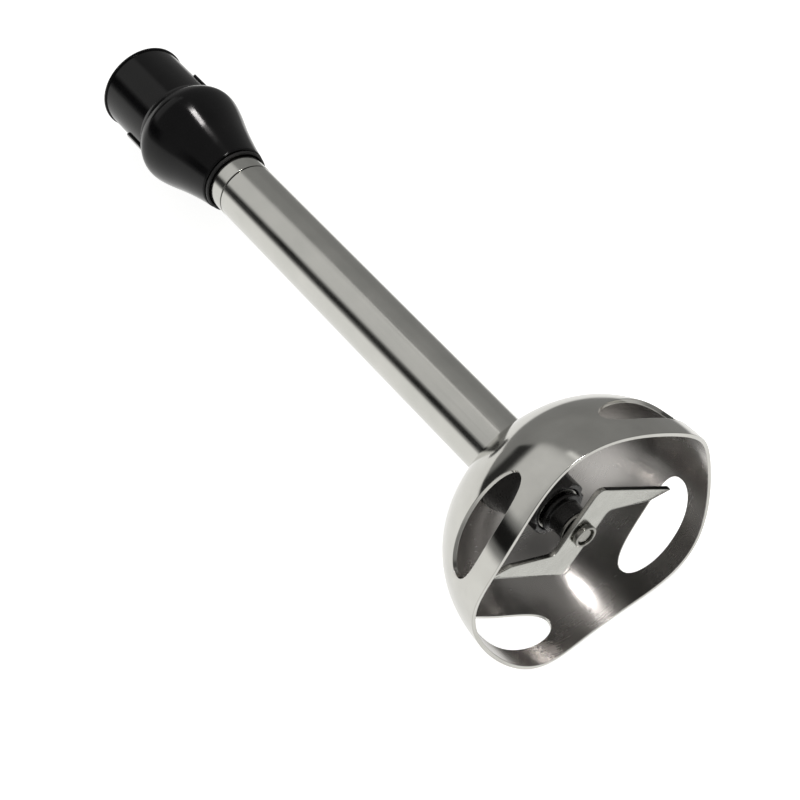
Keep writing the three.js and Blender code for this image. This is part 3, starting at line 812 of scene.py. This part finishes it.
# The two sides of the blade from the shaft out to a wing's tip, matched point for point.
def bladeSides(look=bladeLook):
    lean = math.radians(look["lean"])
    outward = np.array([math.sin(lean), math.cos(lean)])
    inward = np.array([-math.cos(lean), math.sin(lean)])
    corner = np.array([look["reach"], -look["halfWidth"]])
    length, tipEdge = look["wingLength"], look["tipEdge"]
    outer = smoothChain([
        [0, -look["halfWidth"]],
        corner,
        corner + (length - tipEdge) * outward,
    ], look["outerCorner"])
    inner = smoothChain([
        [0, look["halfWidth"]],
        [look["reach"] - look["root"], look["halfWidth"]],
        corner + (length - look["tipCut"]) * outward + look["end"] * inward,
        corner + (length - tipEdge * 0.6) * outward + tipEdge * inward,
    ], look["innerCorner"])
    return outer, inner


# A chain of straight runs with its corners softened, as 60 points an even distance apart. Two points
# far off close it into the outline that softCorners takes, and the part between its ends is kept.
def smoothChain(corners, rounding, count=60, far=60):
    corners = np.array(corners, float)
    closed = np.vstack([corners, corners[-1:] + [0.01, far], corners[:1] + [-far, 0.01]])
    sizes = [0] + [rounding] + [0.4] * (len(corners) - 3) + [0] * 3
    chain = softCorners(closed, sizes, 9)
    begin = int(np.argmin(np.linalg.norm(chain - corners[0], axis=1)))
    end = int(np.argmin(np.linalg.norm(chain - corners[-1], axis=1)))
    chain = chain[begin:end + 1]
    length = np.concatenate([[0], np.cumsum(np.linalg.norm(np.diff(chain, axis=0), axis=1))])
    even = np.linspace(0, length[-1], count)
    return np.stack([np.interp(even, length, chain[:, 0]), np.interp(even, length, chain[:, 1])], -1)


# Blade: at each station the plate's section goes from the outer side to the inner one. The outer side
# is ground: over the bevel's width its lower face rises towards the edge. The other half is the same
# turned by half a turn, so both join across the shaft.
def bladeGrid(look=bladeLook):
    outer, inner = bladeSides()
    stations = np.linspace(0, 1, len(outer))[:, None]
    width = np.linalg.norm(inner - outer, axis=1)[:, None]
    thick = bladeSize["top"] - bladeSize["bottom"]
    bevel = np.minimum(look["bevel"] / width, 0.45)
    r = np.minimum(look["rounding"] / width, 0.1)
    ground = np.clip((stations - look["groundFrom"]) / look["groundFade"], 0, 1)
    ground = ground * ground * (3 - 2 * ground)
    drop = look["bevelDrop"] * ground
    edge = look["rounding"]
    zero = 0 * stations
    # Share of the way from the outer side to the inner one, and height over the plate's lower face.
    # At the shaft the two sides match, so the halves meet point for point.
    section = [
        (zero, thick - edge + zero),
        (zero, drop + edge * (1 - 0.3 * ground)),
        (0.3 * r, drop + 0.3 * edge),
        (r, drop * (1 - r / bevel)),
        (bevel - r, drop * 0.02 + zero),
        (bevel + r, zero),
        (0.5 + zero, zero),
        (1 - bevel - r, zero),
        (1 - bevel + r, zero),
        (1 - r, zero),
        (1 - 0.3 * r, 0.3 * edge + zero),
        (1 + zero, edge + zero),
        (1 + zero, thick - edge + zero),
        (1 - 0.3 * r, thick - 0.3 * edge + zero),
        (1 - r, thick + zero),
        (1 - 1.3 * r, thick + zero),
        (0.5 + zero, thick + zero),
        (1.3 * r, thick + zero),
        (r, thick + zero),
        (0.3 * r, thick - 0.3 * edge + zero),
        (zero, thick - edge + zero),
    ]
    share = np.concatenate([s + zero for s, h in section], 1)
    height = np.concatenate([h + zero for s, h in section], 1)
    flat = outer[:, None] + (inner - outer)[:, None] * share[..., None]
    angle = math.radians(look["angle"])
    halves = []
    for turn in (angle, angle + math.pi):
        x = flat[..., 0] * math.cos(turn) - flat[..., 1] * math.sin(turn)
        y = flat[..., 0] * math.sin(turn) + flat[..., 1] * math.cos(turn)
        half = np.stack([x, y, height + bladeSize["bottom"]], -1)
        capped = np.concatenate([half, 0 * half[:1] + half[-1:, :-1].mean(1, keepdims=True)])
        mapAcross, mapAlong = share * width, stations * look["mapLength"] + 0 * share
        u = np.vstack([mapAcross, mapAcross[-1:]])
        v = np.vstack([mapAlong, mapAlong[-1:] + look["tipEdge"]])
        halves.append((capped, u, v))
    return halves


# The blade's outer sides get painted shade, a near-black steel: the faces that lie within the edge's
# rounding in the map.
def paintShadeOnSides(piece, look=bladeLook):
    mesh = piece.data
    places = np.zeros(len(mesh.loops) * 2, np.float32)
    mesh.uv_layers["surfaceMm"].data.foreach_get("uv", places)
    starts = np.zeros(len(mesh.polygons), np.int32)
    mesh.polygons.foreach_get("loop_start", starts)
    across = np.maximum.reduceat(places[0::2], starts)
    along = np.minimum.reduceat(places[1::2], starts)
    # Faces painted near black as shade: along the outer side, out along the wing.
    paintedShadeFaces = (across < look["rounding"] * 1.1) & (along > look["paintedShadeFrom"])
    mesh.materials.append(paintedShadeSteel)
    mesh.polygons.foreach_set("material_index", paintedShadeFaces.astype(np.int32))


paintShadeOnSides(addPiece("blade", bladeGrid(), "rotor", groundSteel))
print("blade: made")

studioLook = {
    "floorSize": 1.6,  # half its width, in metres
    "floorCells": 8,
    "backdrop": 1.05,
    "sky": (1.0, 0.997, 0.98, 1.0),
    "lampColour": (1.0, 0.965, 0.955),
    # Softboxes: the place each is aimed at, the way to it, distance, sizes, brightness, beam in degrees.
    "lamps": (
        ("couplingSoftbox", (-0.07, 0.0, 0.03), (-0.27, 0.312, 0.911), 1.0, (0.05, 0.16), 60.0, 180),
        ("bellSoftbox", (0.085, 0.0, 0.034), (0.01, 0.25, 0.968), 0.5, (0.16, 0.07), 1.9, 40),
    ),
    # Panels round the leg, each laid over those before it: the angle round the shaft from straight up
    # (front is minus), the angle from the coupling's way, half sizes, softness, all in degrees, brightness.
    "base": 0.27,
    "panels": (
        (-156, 60, 75, 90, 5, 1.02),
        (-112, 135, 40, 50, 16, 0.5),
        (-108, 140, 30, 15, 8, 0.9),
        (-14, 45, 33, 16, 4, 0.72),
        (44, 45, 26, 26, 10, 0.3),
        (19, 56, 2.2, 5, 2, 1.0),
        (-36, 20, 50, 7, 4, 0.035),
        (-63, 55, 10, 20, 4, 0.012),
        (-40, 117, 46, 18, 8, 0.03),
        (88, 100, 14, 12, 6, 0.03),
        (45, 148, 50, 16, 10, 0.09),
    ),
}


# Pale acrylic table, lit from below: barely clouded white.
def makeFloor(look=studioLook):
    material = makeFinish("litAcrylicTable", {
        "directed": False, "marks": (0.4, 0.4), "clouds": 0.003, "colours": ("#b9b9b8", "#c1c1c0"),
        "roughness": (0.65, 0.72), "markRoughness": 0.02, "bump": 0.05, "depth": 0.02,
        "shader": {"Metallic": 0.0, "Emission Color": (1, 1, 0.995, 1), "Emission Strength": 0.93},
    })
    steps = np.linspace(-1, 1, look["floorCells"] + 1) * look["floorSize"]
    x, y = np.meshgrid(steps, steps, indexing="ij")
    points = np.stack([x, y, 0 * x], -1).reshape(-1, 3)
    index = np.arange(x.size).reshape(x.shape)
    quads = np.stack([index[:-1, :-1], index[1:, :-1], index[1:, 1:], index[:-1, 1:]], -1).reshape(-1, 4)
    mesh = bpy.data.meshes.new("floor")
    mesh.from_pydata(points.tolist(), [], quads.tolist())
    mesh.materials.append(material)
    floor = bpy.data.objects.new("floor", mesh)
    bpy.context.scene.collection.objects.link(floor)
    floor.visible_glossy = False  # mirrors show the panels, which go on below the table


# Softboxes overhead, the bright things that the polished steel and the black plastic pick out. Power is
# brightness * pi * area.
def makeLamps(look=studioLook):
    for name, target, way, distance, sizes, brightness, beam in look["lamps"]:
        way = np.array(way) / np.linalg.norm(way)
        light = bpy.data.lights.new(name, "AREA")
        light.shape = "RECTANGLE"
        light.size, light.size_y = sizes
        light.energy = brightness * math.pi * sizes[0] * sizes[1]
        light.spread = math.radians(beam)
        light.color = look["lampColour"]
        lamp = bpy.data.objects.new(name, light)
        bpy.context.scene.collection.objects.link(lamp)
        side = np.array([1.0, 0, 0]) - way[0] * way
        side /= np.linalg.norm(side)
        turn = np.eye(4)
        turn[:3, 0], turn[:3, 1], turn[:3, 2] = side, np.cross(way, side), way
        turn[:3, 3] = np.array(target) + way * distance
        lamp.matrix_world = Matrix(turn.tolist())


# Studio: soft-edged panels all round the leg. The share of a way that a panel covers is
# smooth(half - |round - middle|) * smooth(half - |from coupling - middle|).
def makeStudio(look=studioLook):
    world = bpy.data.worlds.new("studio")
    bpy.context.scene.world = world
    world.use_nodes = True
    tree = world.node_tree
    tree.nodes.clear()
    way = addNode(tree, "ShaderNodeTexCoord").outputs["Generated"]
    up, across, along = (
        addNode(
            tree, "ShaderNodeVectorMath", {"operation": "DOT_PRODUCT", 1: axis.tolist()}, {0: way}
        ).outputs["Value"]
        for axis in legAxes
    )
    around = addNode(tree, "ShaderNodeMath", {"operation": "ARCTAN2"}, {0: across, 1: up})
    fromCoupling = addNode(tree, "ShaderNodeMath", {"operation": "ARCCOSINE"}, {0: along})
    angles = addNode(
        tree, "ShaderNodeCombineXYZ", {}, {"X": around.outputs[0], "Y": fromCoupling.outputs[0]}
    ).outputs["Vector"]
    brightness = addNode(tree, "ShaderNodeValue")
    brightness.outputs[0].default_value = look["base"]
    brightness = brightness.outputs[0]
    for panel in look["panels"]:
        middle, height, halfAround, halfHeight, softness = (math.radians(size) for size in panel[:5])
        highest, lowest = (middle + math.pi, 9, 9), (middle - math.pi, -9, -9)
        wrapped = addNode(
            tree, "ShaderNodeVectorMath", {"operation": "WRAP", 1: highest, 2: lowest}, {0: angles}
        ).outputs["Vector"]
        offset = addNode(
            tree, "ShaderNodeVectorMath", {"operation": "SUBTRACT", 1: (middle, height, 0)}, {0: wrapped}
        ).outputs["Vector"]
        far = addNode(
            tree, "ShaderNodeVectorMath", {"operation": "ABSOLUTE"}, {0: offset}
        ).outputs["Vector"]
        cover = addNode(
            tree, "ShaderNodeMapRange",
            {
                "data_type": "FLOAT_VECTOR", "interpolation_type": "SMOOTHSTEP",
                7: (halfAround + softness, halfHeight + softness, 1),
                8: (halfAround - softness, halfHeight - softness, 0),
            },
            {6: far},
        ).outputs["Vector"]
        shares = addNode(tree, "ShaderNodeSeparateXYZ", {}, {"Vector": cover}).outputs
        covered = addNode(
            tree, "ShaderNodeMath", {"operation": "MULTIPLY"}, {0: shares["X"], 1: shares["Y"]}
        ).outputs["Value"]
        brightness = addNode(
            tree, "ShaderNodeMix", {"data_type": "FLOAT", 3: panel[5]}, {0: covered, 2: brightness}
        ).outputs[0]
    seen = addNode(tree, "ShaderNodeLightPath").outputs["Is Camera Ray"]
    panels = addNode(tree, "ShaderNodeBackground", {"Color": look["sky"]}, {"Strength": brightness})
    backdrop = addNode(tree, "ShaderNodeBackground", {"Color": (1, 1, 1, 1), "Strength": look["backdrop"]})
    either = addNode(
        tree, "ShaderNodeMixShader", {},
        {0: seen, 1: panels.outputs["Background"], 2: backdrop.outputs["Background"]},
    )
    addNode(tree, "ShaderNodeOutputWorld", {}, {"Surface": either.outputs["Shader"]})


makeFloor()
makeLamps()
makeStudio()
bpy.context.scene.view_settings.view_transform = "Standard"

# Camera: its place in mm, and the ways that are right, down and ahead for it.
cameraLook = {
    "place": (268.453, -132.434, 445.046),
    "right": (0.585496, 0.805634, -0.090271),
    "down": (0.658127, -0.537383, -0.527341),
    "ahead": (-0.473354, 0.249347, -0.844845),
    "lens": 94.458,
}


def makeCamera(look=cameraLook):
    lens = bpy.data.cameras.new("camera")
    lens.lens = look["lens"]
    lens.sensor_width = 36
    lens.clip_start = 0.01
    lens.clip_end = 20
    camera = bpy.data.objects.new("camera", lens)
    bpy.context.scene.collection.objects.link(camera)
    turn = np.eye(4)
    turn[:3, 0] = look["right"]
    turn[:3, 1] = -np.array(look["down"])
    turn[:3, 2] = -np.array(look["ahead"])
    turn[:3, 3] = np.array(look["place"]) * mm
    camera.matrix_world = Matrix(turn.tolist())
    bpy.context.scene.camera = camera


makeCamera()
print("studio: made")
